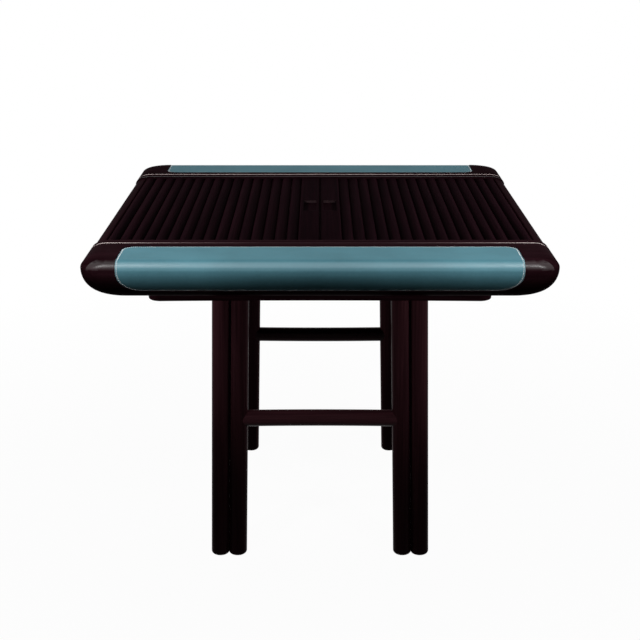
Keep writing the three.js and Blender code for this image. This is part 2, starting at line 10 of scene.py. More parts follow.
import bpy
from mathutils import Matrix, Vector

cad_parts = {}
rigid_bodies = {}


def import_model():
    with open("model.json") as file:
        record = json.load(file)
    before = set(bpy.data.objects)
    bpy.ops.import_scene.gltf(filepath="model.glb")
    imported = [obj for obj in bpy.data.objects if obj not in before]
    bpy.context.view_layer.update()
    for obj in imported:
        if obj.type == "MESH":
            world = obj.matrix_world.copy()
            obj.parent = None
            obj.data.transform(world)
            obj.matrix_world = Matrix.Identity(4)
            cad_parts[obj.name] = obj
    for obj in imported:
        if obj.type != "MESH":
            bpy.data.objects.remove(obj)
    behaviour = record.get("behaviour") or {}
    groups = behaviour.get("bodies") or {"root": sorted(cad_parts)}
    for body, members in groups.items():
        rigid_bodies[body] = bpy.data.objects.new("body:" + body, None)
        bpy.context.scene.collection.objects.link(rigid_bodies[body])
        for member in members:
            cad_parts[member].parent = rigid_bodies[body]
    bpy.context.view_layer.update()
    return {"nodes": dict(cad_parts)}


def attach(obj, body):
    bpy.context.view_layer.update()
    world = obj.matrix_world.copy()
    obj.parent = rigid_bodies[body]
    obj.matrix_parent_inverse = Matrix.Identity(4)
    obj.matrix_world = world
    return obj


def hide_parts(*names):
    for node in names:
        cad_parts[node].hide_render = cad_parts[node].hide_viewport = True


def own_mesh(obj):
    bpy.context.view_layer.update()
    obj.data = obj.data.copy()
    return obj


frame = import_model()
random.seed(7)

MM = 0.001
QUARTER = math.pi / 2

# Sizes of the top, as in the part's source
SEAT = 0.3
HALF_WIDTH, HALF_DEPTH, HEIGHT = 485.25, 559.0, 750.0
SLAB_BOTTOM = 656.0
TOP_REACH, TOP_END_REACH, TOP_DROP = 24.0, 36.5, 21.0
LOWER_REACH, LOWER_END_REACH = 108.0, 68.0
PLAN_CORNER = 45.0
INNER = 366.5
LINE_INSET, LINE_WIDTH, LINE_DROP = 27.0, 3.0, 2.5  # the fine groove along each rail
SLIVER = 0.02  # how far a cutter starts above the surface
EDGE_MIDDLE = HEIGHT - TOP_DROP
LOWER_RISE = EDGE_MIDDLE - SLAB_BOTTOM

# Leather
LEATHER_SUNK = 1.0
LEATHER_THICK = 2.0
LEATHER_INNER_MARGIN, LEATHER_END_MARGIN, LEATHER_LOWER_MARGIN = 58.5, 75.2, 26.0
LEATHER_TOP_CORNER, LEATHER_LOWER_CORNER = 28.0, 55.0
STITCH_INSET, STITCH_PITCH, STITCH_LENGTH = 3.4, 4.2, 2.7
STITCH_WIDTH, STITCH_HEIGHT = 0.75, 0.5
BORDER = 9.0  # width of the leather's finely divided border

# Tambour
PITCH, GAP = 25.6, 0.8
SLAT_THICK, SHOULDER = 11.0, 3.0
SLAT_BACK = 735.0
CANVAS = 0.8
LEAD = 47.6
SLATS_IN_SHEET = 15
SHEET_END = LEAD + SLATS_IN_SHEET * PITCH
TAIL_END = SHEET_END + PITCH
BEND_RADIUS = 22.0
UPPER_BEND = (SHEET_END + 0.2 * PITCH, SLAT_BACK - BEND_RADIUS)
LOWER_BEND = (UPPER_BEND[0] - 10.0, 697.0)
TONGUE_RISE, TONGUE_THICK, TONGUE_WIDTH, TONGUE_LENGTH = 0.4, 5.0, 6.0, 6.0
TRACK_FLOOR, TRACK_ROOF, TRACK_DEPTH = 20.5, 30.0, 7.0
DOOR_HALF = INNER - 0.6
PULL_X, PULL_WIDTH, PULL_BACK, PULL_LENGTH, PULL_DEPTH = 8.4, 30.0, 68.0, 122.0, 8.0

# Fixed rails that close the ends
END_TOE, END_LIP, END_INSET = HALF_WIDTH - 54.4, TAIL_END + 0.6, 3.0
END_TOP = 746.0
END_HOLLOW = BEND_RADIUS + SLAT_THICK + 1.0

# Stand
UNDER_HALF_X, UNDER_HALF_Y, UNDER_TOP, UNDER_BOTTOM = 364.0, 425.0, 655.7, 629.7
UNDER_CORNER, UNDER_BOW, UNDER_ROUND = 28.0, 6.0, 4.0
COLUMN_RADIUS, COLUMN_SPACING = 20.75, 39.6
LEG_X, LEG_Y, LEG_TOP, SPLAY = 209.0, 322.0, 629.4, 0.0222
FOOT_ROUND = 8.0
RUNG_RADIUS, RUNG_Z, RUNG_BOW = 18.5, 330.0, 4.0


# Outlines and forms. A form is a list of points and a list of faces.
def arc(cx, cy, rx, ry, start, end, steps):
    angles = [start + (end - start) * i / steps for i in range(steps + 1)]
    return [(cx + rx * math.cos(a), cy + ry * math.sin(a)) for a in angles]


def quarter_turn(steps):
    """The angles of a quarter of a circle in even steps."""
    return [QUARTER * i / steps for i in range(steps + 1)]


def skin(rings, caps=True):
    """Rings of as many points each, joined one after the other."""
    count = len(rings[0])
    points = [p for ring in rings for p in ring]
    faces = []
    for r in range(len(rings) - 1):
        for i in range(count):
            a, b = r * count + i, r * count + (i + 1) % count
            faces.append((a, b, b + count, a + count))
    if caps:
        faces.append(tuple(reversed(range(count))))
        faces.append(tuple(range(len(points) - count, len(points))))
    return points, faces


def joined(*forms):
    points, faces = [], []
    for more, polygons in forms:
        start = len(points)
        points.extend(more)
        faces.extend(tuple(start + i for i in f) for f in polygons)
    return points, faces


def placed(form, mirrored=False, turned=False):
    """A copy with left and right swapped, or turned by half a turn about the upright axis."""
    sx = (-1 if mirrored else 1) * (-1 if turned else 1)
    sy = -1 if turned else 1
    points = [(x * sx, y * sy, z) for x, y, z in form[0]]
    faces = [tuple(reversed(f)) for f in form[1]] if mirrored else list(form[1])
    return points, faces


def soft_box(x0, x1, y0, y1, z0, z1, edge):
    """A box with rounded edges, as rings of rounded rectangles."""
    turn = quarter_turn(4)
    levels = [(z0 + edge - edge * math.cos(a), edge - edge * math.sin(a)) for a in turn]
    levels += [(z1 - edge + edge * math.sin(a), edge - edge * math.cos(a)) for a in turn]
    cx, cy, hx, hy = (x0 + x1) / 2, (y0 + y1) / 2, (x1 - x0) / 2, (y1 - y0) / 2
    return skin([round_ring(cx, cy, hx - inset, hy - inset, edge, z) for z, inset in levels])


def round_ring(cx, cy, hx, hy, radius, z, steps=4):
    radius = max(min(radius, hx, hy), 0.01)
    x, y = hx - radius, hy - radius
    ring = []
    for k, (sx, sy) in enumerate([(1, 1), (-1, 1), (-1, -1), (1, -1)]):
        ring += arc(cx + sx * x, cy + sy * y, radius, radius, k * QUARTER, (k + 1) * QUARTER, steps)
    return [(a, b, z) for a, b in ring]


def mesh_of(name, form):
    mesh = bpy.data.meshes.new(name)
    mesh.from_pydata([tuple(c * MM for c in p) for p in form[0]], [], form[1])
    mesh.update()
    return mesh


def make(name, form, material, stands_for=(), body="table", angle=40, cutters=(), weighted=True):
    """One shown piece, smooth but for its sharp edges, riding on a body in place of some CAD nodes."""
    obj = bpy.data.objects.new(name, mesh_of(name, form))
    bpy.context.scene.collection.objects.link(obj)
    for i, cutter in enumerate(cutters):
        cut(obj, cutter, f"{name}_cut_{i}")
    obj.data.materials.clear()
    obj.data.materials.append(material)
    obj.data.shade_smooth()
    obj.data.set_sharp_from_angle(angle=math.radians(angle))
    if weighted:
        obj.modifiers.new("weighted", "WEIGHTED_NORMAL").keep_sharp = True
    if body:
        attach(obj, body)
    if stands_for:
        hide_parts(*stands_for)
    return obj


def cut(obj, form, name):
    """Takes a form out of an object's mesh."""
    tool = bpy.data.objects.new(name, mesh_of(name, form))
    bpy.context.scene.collection.objects.link(tool)
    modifier = obj.modifiers.new("cut", "BOOLEAN")
    modifier.operation = "DIFFERENCE"
    modifier.solver = "EXACT"
    modifier.object = tool
    bpy.context.view_layer.update()
    made = bpy.data.meshes.new_from_object(obj.evaluated_get(bpy.context.evaluated_depsgraph_get()))
    obj.modifiers.clear()
    obj.data = made
    bpy.data.objects.remove(tool)


# Materials
def linear(*rgb):
    """A colour that is written as it looks, from 0 to 255, as the shader takes it."""
    out = []
    for c in rgb:
        c /= 255
        out.append(c / 12.92 if c <= 0.04045 else ((c + 0.055) / 1.055) ** 2.4)
    return (*out, 1.0)


def add_node(tree, kind, sockets=None, **settings):
    """A node of a kind, where each socket takes a value or another node's output."""
    node = tree.nodes.new("ShaderNode" + kind)
    for key, value in settings.items():
        setattr(node, key, value)
    for key, value in (sockets or {}).items():
        if isinstance(value, bpy.types.NodeSocket):
            tree.links.new(value, node.inputs[key])
        else:
            node.inputs[key].default_value = value
    return node


class Shader:
    """A material with its nodes, added one line each."""

    def __init__(self, name, roughness, specular):
        self.material = bpy.data.materials.new(name)
        self.material.use_nodes = True
        self.tree = self.material.node_tree
        self.base = self.tree.nodes["Principled BSDF"]
        self.base.inputs["Roughness"].default_value = roughness
        self.base.inputs["Specular IOR Level"].default_value = specular

    def add(self, kind, sockets=None, **settings):
        return add_node(self.tree, kind, sockets, **settings)

    def link(self, socket, key):
        self.tree.links.new(socket, self.base.inputs[key])

    def place(self, scale, shift=None):
        """Coordinates in metres times a scale, moved on by a value that differs from piece to piece."""
        coords = self.add("TexCoord").outputs["Object"]
        if shift is not None:
            spread = self.add("VectorMath", {0: (31.7, 17.3, 23.9), "Scale": shift}, operation="SCALE")
            coords = self.add("VectorMath", {0: coords, 1: spread.outputs[0]}, operation="ADD").outputs[0]
        return self.add("Mapping", {"Vector": coords, "Scale": scale}).outputs[0]

    def noise(self, where, scale, detail=4.0, roughness=0.55, distortion=0.0):
        sockets = {"Vector": where, "Scale": scale, "Detail": detail, "Roughness": roughness, "Distortion": distortion}
        return self.add("TexNoise", sockets).outputs["Fac"]

    def ramp(self, value, *stops):
        node = self.add("ValToRGB", {"Fac": value})
        elements = node.color_ramp.elements
        while len(elements) < len(stops):
            elements.new(0.5)
        for element, (position, colour) in zip(elements, stops):
            element.position = position
            element.color = colour
        return node.outputs["Color"]

    def mix(self, share, a, b, blend="MIX"):
        node = self.add("Mix", data_type="RGBA", blend_type=blend)
        for key, value in (("Factor", share), ("A", a), ("B", b)):
            socket = next(s for s in node.inputs if s.name == key and (key == "Factor" or s.type == "RGBA"))
            if isinstance(value, bpy.types.NodeSocket):
                self.tree.links.new(value, socket)
            else:
                socket.default_value = value
        return next(s for s in node.outputs if s.type == "RGBA")

    def span(self, value, low, high, to_low, to_high):
        sockets = {"Value": value, "From Min": low, "From Max": high, "To Min": to_low, "To Max": to_high}
        return self.add("MapRange", sockets).outputs["Result"]

    def bump(self, height, distance, strength=1.0, before=None):
        sockets = {"Height": height, "Distance": distance, "Strength": strength}
        if before is not None:
            sockets["Normal"] = before
        return self.add("Bump", sockets).outputs["Normal"]


def wood(name, axis, dark, light, roughness, specular, varied=False):
    """Close-grained wood under lacquer; the grain runs along an axis, 0, 1 or 2."""
    s = Shader(name, roughness, specular)
    shift = s.add("Attribute", attribute_name="own_shift").outputs["Fac"] if varied else None

    def stretched(across, along):
        scale = [across] * 3
        scale[axis] = along
        return s.place(scale, shift)

    figure = s.noise(stretched(26.0, 1.6), 1.0, 5.0, 0.6, 0.6)
    streaks = s.noise(stretched(210.0, 3.2), 1.0, 6.0, 0.65, 0.2)
    pores = s.noise(stretched(1500.0, 42.0), 1.0, 3.0, 0.6)
    body = s.ramp(figure, (0.32, dark), (0.7, light))
    lines = s.ramp(streaks, (0.34, (0.55, 0.5, 0.52, 1)), (0.62, (1.12, 1.1, 1.1, 1)))
    colour = s.mix(0.85, body, lines, "MULTIPLY")
    s.link(colour, "Base Color")
    s.link(s.span(streaks, 0.25, 0.75, roughness * 0.86, roughness * 1.16), "Roughness")
    s.link(s.bump(pores, 0.00002, 0.5, s.bump(streaks, 0.00002, 0.4)), "Normal")
    return s.material


def leather(name, colour, edge_colour, roughness, specular):
    """Smooth full-grain leather, with a pale edge where the border attribute says that it is near."""
    s = Shader(name, roughness, specular)
    near = s.add("Attribute", attribute_name="from_edge").outputs["Fac"]
    where = s.place((1, 1, 1))
    tone = s.noise(where, 9.0, 4.0, 0.55)
    mottle = s.noise(where, 160.0, 3.0, 0.6)
    cells = s.add("TexVoronoi", {"Vector": where, "Scale": 1100.0}, feature="SMOOTH_F1").outputs["Distance"]
    creases = s.noise(where, 520.0, 5.0, 0.65)
    low = tuple(c * 0.9 for c in colour[:3]) + (1,)
    high = tuple(min(c * 1.08, 1) for c in colour[:3]) + (1,)
    base = s.ramp(tone, (0.3, low), (0.7, high))
    base = s.mix(0.25, base, s.ramp(mottle, (0.35, (0.86, 0.88, 0.89, 1)), (0.65, (1.1, 1.08, 1.08, 1))), "MULTIPLY")
    pale = s.span(near, 0.6, 1.4, 1.0, 0.0)
    pressed = s.span(near, 1.2, 6.5, 0.14, 0.0)
    base = s.mix(pressed, base, edge_colour)
    base = s.mix(pale, base, edge_colour)
    s.link(base, "Base Color")
    s.link(s.span(mottle, 0.3, 0.7, roughness * 0.92, roughness * 1.1), "Roughness")
    s.link(s.bump(cells, 0.00009, 0.35, s.bump(creases, 0.00006, 0.35)), "Normal")
    return s.material


def thread(name, colour):
    s = Shader(name, 0.62, 0.3)
    twist = s.add("TexWave", {"Vector": s.place((1, 1, 1)), "Scale": 900.0, "Distortion": 2.0}).outputs["Fac"]
    s.link(s.ramp(twist, (0.1, tuple(c * 0.72 for c in colour[:3]) + (1,)), (0.8, colour)), "Base Color")
    return s.material


def cloth(name, colour, scale=900.0):
    """Woven cloth or felt, matte, with threads crossing."""
    s = Shader(name, 0.9, 0.15)
    where = s.place((1, 1, 1))
    warp = s.add("TexWave", {"Vector": where, "Scale": scale, "Distortion": 0.6}, bands_direction="X").outputs["Fac"]
    weft = s.add("TexWave", {"Vector": where, "Scale": scale, "Distortion": 0.6}, bands_direction="Y").outputs["Fac"]
    weave = s.add("Math", {0: warp, 1: weft}, operation="MULTIPLY").outputs[0]
    fluff = s.noise(where, 320.0, 5.0, 0.6)
    low = tuple(c * 0.78 for c in colour[:3]) + (1,)
    s.link(s.ramp(fluff, (0.3, low), (0.7, colour)), "Base Color")
    s.link(s.bump(weave, 0.00008, 0.5), "Normal")
    return s.material


def ply(name):
    s = Shader(name, 0.72, 0.2)
    grain = s.noise(s.place((7.0, 120.0, 120.0)), 1.0, 5.0, 0.6, 0.8)
    s.link(s.ramp(grain, (0.3, linear(112, 82, 62)), (0.7, linear(150, 116, 88))), "Base Color")
    s.link(s.bump(grain, 0.00006, 0.5), "Normal")
    return s.material


def painted_line_highlight(name, *stops):
    """A painted highlight on the groove's sides under lacquer: a pale colour by the distance from the middle in
    metres.
    """
    s = Shader(name, 0.35, 0.1)
    split = s.add("SeparateXYZ", {0: s.place((1, 1, 1))})
    away = s.add("Math", {0: split.outputs["X"]}, operation="ABSOLUTE").outputs[0]
    wavering = s.add("Math", {0: s.noise(s.place((1, 1, 1)), 60.0), 1: 0.02, 2: away}, operation="MULTIPLY_ADD")
    s.link(s.ramp(wavering.outputs[0], *stops), "Base Color")
    return s.material


# Painted highlights for the groove's sides: at the front pale towards the ends and fading to dark wood in the middle,
# at the back pale all along.
fading_line = painted_line_highlight("fading_line", (0.14, linear(42, 24, 28)), (0.28, linear(92, 74, 76)),
                          (0.36, linear(132, 116, 116)), (0.45, linear(196, 182, 180)))
bright_line = painted_line_highlight("bright_line", (0.0, linear(224, 206, 204)), (0.5, linear(224, 206, 204)))
WOOD_DARK, WOOD_LIGHT = linear(24, 9, 13), linear(34, 16, 21)
SLAT_DARK, SLAT_LIGHT = linear(22, 9, 14), linear(33, 15, 21)
LEG_DARK, LEG_LIGHT = linear(38, 18, 22), linear(58, 31, 36)
rail_wood = wood("rail_wood", 0, WOOD_DARK, WOOD_LIGHT, 0.36, 0.0001)
rail_sheen = [(tilt, wood(f"rail_wood_{tilt}", 0, WOOD_DARK, WOOD_LIGHT, 0.36, level)) for tilt, level in
              ((14, 0.02), (20, 0.1), (26, 0.35), (68, 0.2), (78, 0.06))]
end_wood = wood("end_wood", 1, WOOD_DARK, WOOD_LIGHT, 0.36, 0.0001)
slat_wood = wood("slat_wood", 1, SLAT_DARK, SLAT_LIGHT, 0.42, 0.0001, varied=True)
# The finger pulls' far walls: much lighter wood than the slats, a painted highlight, with a real gloss.
pull_wall = wood("pull_wall", 1, linear(64, 44, 48), linear(84, 60, 64), 0.35, 0.5)
leg_wood = wood("leg_wood", 2, LEG_DARK, LEG_LIGHT, 0.3, 0.008, varied=True)
rung_wood = wood("rung_wood", 0, LEG_DARK, LEG_LIGHT, 0.3, 0.02)
board_wood = wood("board_wood", 1, WOOD_DARK, WOOD_LIGHT, 0.4, 0.05)
core_wood = wood("core_wood", 1, linear(48, 30, 32), linear(66, 44, 44), 0.6, 0.1)
LEATHER = linear(80, 126, 138)
PALE = linear(150, 168, 174)
panel_leather = leather("panel_leather", LEATHER, PALE, 0.42, 0.008)
leather_sheen = [(tilt, leather(f"panel_leather_{tilt}", LEATHER, PALE, 0.42, level)) for tilt, level in
                 ((17, 0.05), (22, 0.15), (27, 0.4), (34, 0.9), (70, 0.6), (80, 0.25), (90, 0.08))]
seam_thread = thread("seam_thread", linear(244, 246, 246))
field_leather = leather("field_leather", linear(74, 104, 112), linear(74, 104, 112), 0.62, 0.15)
light_leather = leather("light_leather", linear(198, 188, 166), linear(198, 188, 166), 0.58, 0.15)
dark_leather = leather("dark_leather", linear(48, 34, 38), linear(48, 34, 38), 0.58, 0.15)
tray_felt = cloth("tray_felt", linear(66, 92, 98))
canvas_cloth = cloth("canvas_cloth", linear(58, 50, 48), 1400.0)
plywood = ply("plywood")


# The rails' outer surface
def edge_levels(upper_steps, lower_steps):
    lower = arc(0, EDGE_MIDDLE, 1, LOWER_RISE, -QUARTER, 0, lower_steps)
    upper = arc(0, EDGE_MIDDLE, 1, TOP_DROP, 0, QUARTER, upper_steps)[1:]
    levels = [(LOWER_END_REACH * (1 - s), LOWER_REACH * (1 - s), z) for s, z in lower]
    return levels + [(TOP_END_REACH * (1 - s), TOP_REACH * (1 - s), z) for s, z in upper]


def rail_form():
    rings = []
    for inset_x, inset_y, z in edge_levels(14, 28):
        hx, hy = HALF_WIDTH - inset_x, HALF_DEPTH - inset_y
        x, y = hx - PLAN_CORNER, hy - PLAN_CORNER
        ring = [(-hx, -INNER)]
        ring += arc(-x, -y, PLAN_CORNER, PLAN_CORNER, 2 * QUARTER, 3 * QUARTER, 20)
        ring += arc(x, -y, PLAN_CORNER, PLAN_CORNER, 3 * QUARTER, 4 * QUARTER, 20)
        ring.append((hx, -INNER))
        rings.append([(a, b, z) for a, b in ring])
    return skin(rings)


def end_line(drop, steps=20):
    """The rail's upper outline in the XZ plane from right to left, lowered by a drop that fades out at its ends."""
    upper_x = HALF_WIDTH - TOP_END_REACH
    right = arc(upper_x, EDGE_MIDDLE, TOP_END_REACH, TOP_DROP - drop, 0, QUARTER, steps)
    return right + [(-x, z) for x, z in reversed(right)]


def above(profile):
    """Everything above a profile of Y and drop that follows the rail's upper outline."""
    far, top = HALF_WIDTH + 20, HEIGHT + 20
    around = [(-far, EDGE_MIDDLE), (-far, top), (far, top), (far, EDGE_MIDDLE)]
    return skin([[(x, y, z) for x, z in end_line(drop) + around] for y, drop in profile])


def line_cutter():
    """The fine groove along the rail, with its edges rounded."""
    start = -INNER - LINE_INSET - LINE_WIDTH
    ease = 0.9
    turn = quarter_turn(4)
    profile = [(start - ease + ease * math.sin(a), -SLIVER + ease * (1 - math.cos(a))) for a in turn]
    profile += [(start + 0.001, LINE_DROP), (start + LINE_WIDTH - 0.001, LINE_DROP)]
    profile += [(start + LINE_WIDTH + ease * (1 - math.cos(a)), -SLIVER + ease * (1 - math.sin(a))) for a in turn]
    return above(profile)


def arris_cutter():
    """What rounds the rail's inner top edge."""
    ease = 1.5
    profile = [(-INNER - ease + ease * math.sin(a), -SLIVER + ease * (1 - math.cos(a))) for a in quarter_turn(5)]
    return above(profile + [(-INNER + 10, ease)])


def turn_line(radius, steps=24):
    """The doors' turn at the right end, from below up, at a distance from the middles of its two bends."""
    slope = math.atan2(LOWER_BEND[0] - UPPER_BEND[0], UPPER_BEND[1] - LOWER_BEND[1])
    lower = arc(*LOWER_BEND, radius, radius, -QUARTER, slope, steps // 2)
    return lower + arc(*UPPER_BEND, radius, radius, slope, QUARTER, steps)


def track_cutter():
    """The doors' track in a rail's inner face: a long loop with round ends."""
    def loop(radius, y):
        right = turn_line(radius)
        return [(x, y, z) for x, z in right] + [(-x, y, z) for x, z in reversed(right)]

    y0, y1 = -INNER - TRACK_DEPTH, -INNER + 10
    rings = [loop(TRACK_ROOF, y0), loop(TRACK_ROOF, y1), loop(TRACK_FLOOR, y1), loop(TRACK_FLOOR, y0)]
    points, faces = skin(rings + [rings[0]], caps=False)
    count = len(rings[0])
    keep = len(points) - count
    faces = [tuple(i % keep if i >= keep else i for i in f) for f in faces]
    return points[:keep], [tuple(reversed(f)) for f in faces]


def section_line():
    """The rail's outer line in section, from the leather's start on its top round to its underside."""
    line = [(-(INNER + LEATHER_INNER_MARGIN) + 8, HEIGHT)]
    line += arc(TOP_REACH - HALF_DEPTH, EDGE_MIDDLE, -TOP_REACH, TOP_DROP, QUARTER, 0, 60)
    return line + arc(LOWER_REACH - HALF_DEPTH, EDGE_MIDDLE, -LOWER_REACH, LOWER_RISE, 0, -QUARTER, 120)[1:]


class Walk:
    """Places and outward normals by distance along the section line, from the leather's upper edge."""

    def __init__(self):
        self.line = section_line()
        self.lengths = [-8.0]
        for (y0, z0), (y1, z1) in zip(self.line, self.line[1:]):
            self.lengths.append(self.lengths[-1] + math.hypot(y1 - y0, z1 - z0))
        lowest = SLAB_BOTTOM + LEATHER_LOWER_MARGIN
        for i, (y, z) in enumerate(self.line):
            if z < lowest:
                y0, z0 = self.line[i - 1]
                share = (z0 - lowest) / (z0 - z)
                self.total = self.lengths[i - 1] + share * (self.lengths[i] - self.lengths[i - 1])
                break

    def at(self, distance, depth):
        i = 1
        while i < len(self.line) - 1 and self.lengths[i] < distance:
            i += 1
        (y0, z0), (y1, z1) = self.line[i - 1], self.line[i]
        size = math.hypot(y1 - y0, z1 - z0)
        share = (distance - self.lengths[i - 1]) / size
        ny, nz = (z1 - z0) / size, -(y1 - y0) / size
        return y0 + (y1 - y0) * share - ny * depth, z0 + (z1 - z0) * share - nz * depth, ny, nz


walk = Walk()
PANEL_HALF = HALF_WIDTH - LEATHER_END_MARGIN


def panel_rows(margin, corner_steps, middle_steps):
    """Distances along the section with the panel's half length at each, its corners rounded."""
    top, low = LEATHER_TOP_CORNER + margin, LEATHER_LOWER_CORNER + margin
    start, end = -margin, walk.total + margin
    half = PANEL_HALF + margin
    rows = []
    for a in quarter_turn(corner_steps):
        rows.append((start + top * (1 - math.cos(a)), half - top * (1 - math.sin(a)), math.sin(a), -math.cos(a)))
    free = end - start - top - low
    for i in range(1, middle_steps):
        rows.append((start + top + free * i / middle_steps, half, 1.0, 0.0))
    for a in quarter_turn(corner_steps):
        rows.append((end - low * (1 - math.sin(a)), half - low * (1 - math.cos(a)), math.cos(a), math.sin(a)))
    return rows


def recess_cutter():
    rings = []
    for s, half, _, _ in panel_rows(SEAT, 20, 40):
        y0, z0, _, _ = walk.at(s, -12)
        y1, z1, _, _ = walk.at(s, LEATHER_SUNK + LEATHER_THICK + SEAT)
        rings.append([(half, y0, z0), (-half, y0, z0), (-half, y1, z1), (half, y1, z1)])
    return skin(rings)


def leather_depth(near):
    """How deep the leather's surface lies below the rail's, by the distance from its edge."""
    turned, turned_depth = 1.6, 1.1  # the edge, folded under
    dent_depth, dent_width = 0.28, 0.8  # where the stitches pull
    swell_rise, swell_start, swell_run = 0.25, 4.0, 12.0  # inside the stitches
    if near < turned:
        return LEATHER_SUNK + turned_depth * (1 - math.sqrt(max(0.0, 1 - (1 - near / turned) ** 2)))
    dent = dent_depth * math.exp(-(((near - STITCH_INSET) / dent_width) ** 2))
    swell = swell_rise * min(1.0, max(0.0, (near - swell_start) / swell_run))
    return LEATHER_SUNK + dent - swell


def panel_loop(inset, rows, columns):
    """The border line at an inset: x, distance along the section, and the outward direction in both."""
    loop = []
    first, last = rows[0], rows[-1]
    for j in range(columns):
        loop.append((first[1] * (2 * j / (columns - 1) - 1), first[0], 0.0, -1.0))
    loop += [(half, s, nx, ns) for s, half, nx, ns in rows[1:]]
    for j in range(1, columns):
        loop.append((last[1] * (1 - 2 * j / (columns - 1)), last[0], 0.0, 1.0))
    loop += [(-half, s, -nx, ns) for s, half, nx, ns in reversed(rows[1:-1])]
    return [(x + nx * inset, s + ns * inset, nx, ns) for x, s, nx, ns in loop]


def leather_form():
    """The panel's face as a grid, with finely divided rings at its border. Also gives each point's way to the edge."""
    columns = 121
    rows = panel_rows(-BORDER, 16, 44)
    points, near = [], []
    for s, half, _, _ in rows:
        for j in range(columns):
            share = 2 * j / (columns - 1) - 1
            y, z, _, _ = walk.at(s, leather_depth(BORDER))
            points.append((half * share, y, z))
            near.append(BORDER)
    faces = []
    for r in range(len(rows) - 1):
        for j in range(columns - 1):
            a = r * columns + j
            faces.append((a, a + columns, a + columns + 1, a + 1))
    count = len(rows)
    inner = list(range(columns))
    inner += [r * columns + columns - 1 for r in range(1, count)]
    inner += [(count - 1) * columns + columns - 1 - j for j in range(1, columns)]
    inner += [r * columns for r in range(count - 2, 0, -1)]
    distances = [7.0, 5.4, 4.6, 4.0, 3.6, 3.2, 2.8, 2.4, 2.0, 1.6, 1.2, 0.8, 0.45, 0.2, 0.05, 0.0]
    for d in distances + [None]:
        start = len(points)
        depth = leather_depth(d) if d is not None else LEATHER_SUNK + LEATHER_THICK
        for x, s, _, _ in panel_loop(BORDER - (d or 0.0), rows, columns):
            y, z, _, _ = walk.at(s, depth)
            points.append((x, y, z))
            near.append(d or 0.0)
        size = len(inner)
        for i in range(size):
            k = (i + 1) % size
            faces.append((inner[i], inner[k], start + k, start + i))
        inner = list(range(start, start + size))
    return (points, faces), near


def stitch_form():
    """Slanted stitches all round the panel, each a short thread that dips into the leather at both ends."""
    rows = panel_rows(-STITCH_INSET, 60, 60)
    line = [(x, s) for x, s, _, _ in panel_loop(0, rows, 400)]
    depth = leather_depth(STITCH_INSET)
    places = [Vector((x, *walk.at(s, depth)[:2])) for x, s in line]
    normals = [Vector((0, *walk.at(s, depth)[2:])) for _, s in line]
    lengths = [0.0]
    for a, b in zip(places, places[1:] + places[:1]):
        lengths.append(lengths[-1] + (b - a).length)
    count = round(lengths[-1] / STITCH_PITCH)
    forms = []
    i = 0
    for n in range(count):
        distance = (n + 0.5) * lengths[-1] / count
        while lengths[i + 1] < distance:
            i += 1
        share = (distance - lengths[i]) / (lengths[i + 1] - lengths[i])
        k = (i + 1) % len(places)
        middle = places[i].lerp(places[k], share)
        up = normals[i].lerp(normals[k], share).normalized()
        along = (places[k] - places[i]).normalized()
        along = (along - up * along.dot(up)).normalized()
        side = up.cross(along)
        along = (along + side * 0.16).normalized()
        side = up.cross(along)
        rings = []
        for t in (-1.0, -0.82, -0.45, 0.0, 0.45, 0.82, 1.0):
            size = math.sqrt(max(0.0, 1 - t * t)) ** 0.6 * 0.94 + 0.06
            centre = middle + along * (t * STITCH_LENGTH / 2) + up * (STITCH_HEIGHT * (0.55 - 0.9 * t * t))
            rings.append([tuple(centre + side * (STITCH_WIDTH * size * math.cos(a)) +
                                up * (STITCH_WIDTH * 0.8 * size * math.sin(a))) for a in
                          [QUARTER * 2 / 3 * k for k in range(6)]])
        forms.append(skin(rings))
    return joined(*forms)


def sheen_bands(obj, bands, last):
    """Finishes of their own for the faces of a rounding, by how far they tilt from looking up, in degrees.

    Faces at the rails' ends, which look sideways, keep the plain finish.
    """
    sideways = 0.9
    for _, finish in bands:
        obj.data.materials.append(finish)
    for face in obj.data.polygons:
        tilt = math.degrees(math.acos(max(-1.0, min(1.0, face.normal.z))))
        if tilt < last and abs(face.normal.x) < sideways * abs(face.normal.y):
            face.material_index = sum(tilt >= start for start, _ in bands)


def paint_groove_highlight(obj, finish):
    """The upright sides of the fine groove, painted pale where they catch the light: a painted highlight."""
    obj.data.materials.append(finish)
    middle = (INNER + LINE_INSET + LINE_WIDTH / 2) * MM
    for face in obj.data.polygons:
        near = abs(abs(face.center.y) - middle) < LINE_WIDTH * MM
        if near and abs(face.normal.y) > 0.45 and face.center.z > EDGE_MIDDLE * MM:
            face.material_index = len(obj.data.materials) - 1


def point_values(obj, name, values):
    attribute = obj.data.attributes.new(name, "FLOAT", "POINT")
    attribute.data.foreach_set("value", values)


def build_rails():
    cutters = [line_cutter(), arris_cutter(), recess_cutter(), track_cutter()]
    base = rail_form()
    face, near = leather_form()
    seam = stitch_form()
    for side, turned in (("front", False), ("back", True)):
        rail = make(f"{side}_rail_smooth", placed(base, turned=turned), rail_wood, [f"{side}_rail"],
                    angle=35, cutters=[placed(c, turned=turned) for c in cutters], weighted=False)
        sheen_bands(rail, rail_sheen, 84)
        # The groove's sides take a painted highlight.
        paint_groove_highlight(rail, bright_line if turned else fading_line)
        panel = make(f"{side}_leather", placed(face, turned=turned), panel_leather, [f"{side}_leather_panel"],
                     angle=60, weighted=False)
        point_values(panel, "from_edge", near)
        sheen_bands(panel, leather_sheen, 100)
        make(f"{side}_leather_stitches", placed(seam, turned=turned), seam_thread, angle=80,
             weighted=False)


# Tambour
def slat_profile(width, steps=18):
    rise = SLAT_THICK - SHOULDER
    return [(width, 0.0)] + arc(width / 2, SHOULDER, width / 2, rise, 0, 2 * QUARTER, steps) + [(0.0, 0.0)]


